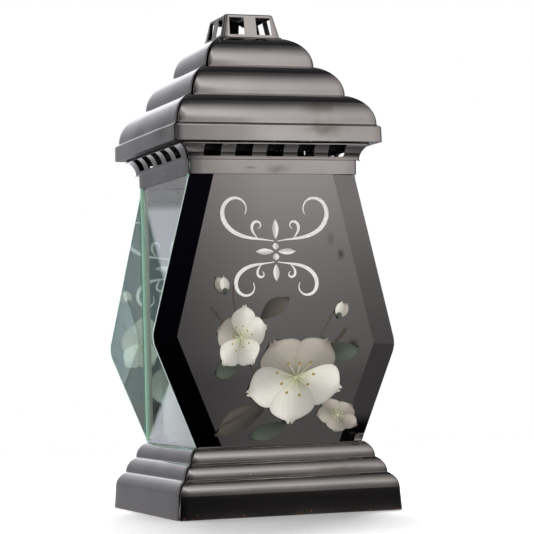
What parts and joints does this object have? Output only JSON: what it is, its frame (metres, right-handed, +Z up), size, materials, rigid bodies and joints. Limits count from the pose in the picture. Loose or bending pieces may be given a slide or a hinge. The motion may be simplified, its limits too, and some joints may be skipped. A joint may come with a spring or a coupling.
{
  "type": "grave lantern",
  "caption": "Square glass lantern with hexagonal bevelled front and rear panels, stepped steel plinth, vented frame, lift-off tiered roof and a candle refill.",
  "frame": {"origin": "centre of the plinth's underside, on the ground", "axes": "+Z up, the printed front panel faces -Y, +X to the right of someone who faces it"},
  "size_m": [0.1782, 0.1618, 0.352],
  "materials": {
    "lacquered_steel": "glossy dark nickel lacquer",
    "tinplate": "plain",
    "black_backed_glass": "polished, black printed back",
    "mirror_glass": "silvered behind, polished",
    "clear_glass": "polished",
    "silicone": "satin",
    "cup_plastic": "satin",
    "wax": "satin",
    "wick_cotton": "matte",
    "foil": "gold lacquered"
  },
  "bodies": {
    "lantern_body": {"plinth_front": "lacquered_steel", "frame_front": "lacquered_steel", "plinth_right": "lacquered_steel", "frame_right": "lacquered_steel", "plinth_back": "lacquered_steel", "frame_back": "lacquered_steel", "plinth_left": "lacquered_steel", "frame_left": "lacquered_steel", "glass_clip_front": "lacquered_steel", "glass_clip_rear": "lacquered_steel", "floor_tray": "tinplate", "refill_holder": "tinplate", "glass_keeper": "tinplate", "front_panel": "black_backed_glass", "rear_panel": "mirror_glass", "left_pane": "clear_glass", "right_pane": "clear_glass", "corner_seal_rear_right": "silicone", "corner_seal_rear_left": "silicone", "corner_seal_front_left": "silicone", "corner_seal_front_right": "silicone"},
    "lid": {"roof_front": "lacquered_steel", "roof_right": "lacquered_steel", "roof_back": "lacquered_steel", "roof_left": "lacquered_steel", "lid_collar": "tinplate", "chimney_cap": "lacquered_steel"},
    "refill": {"refill_cup": "cup_plastic", "refill_wax": "wax", "wick_foot": "foil", "wick": "wick_cotton", "refill_cap": "foil"}
  },
  "joints": [
    {"name": "lid_lift", "type": "slide", "parent": "lantern_body", "child": "lid", "axis": [0, 0, 1], "range_m": [0, 0.26]},
    {"name": "refill_lift", "type": "slide", "parent": "lantern_body", "child": "refill", "axis": [0, 0, 1], "range_m": [0, 0.234]}
  ],
  "couplings": [
    {"joint": "refill_lift", "follows": "lid_lift", "ratio": 0.9}
  ]
}
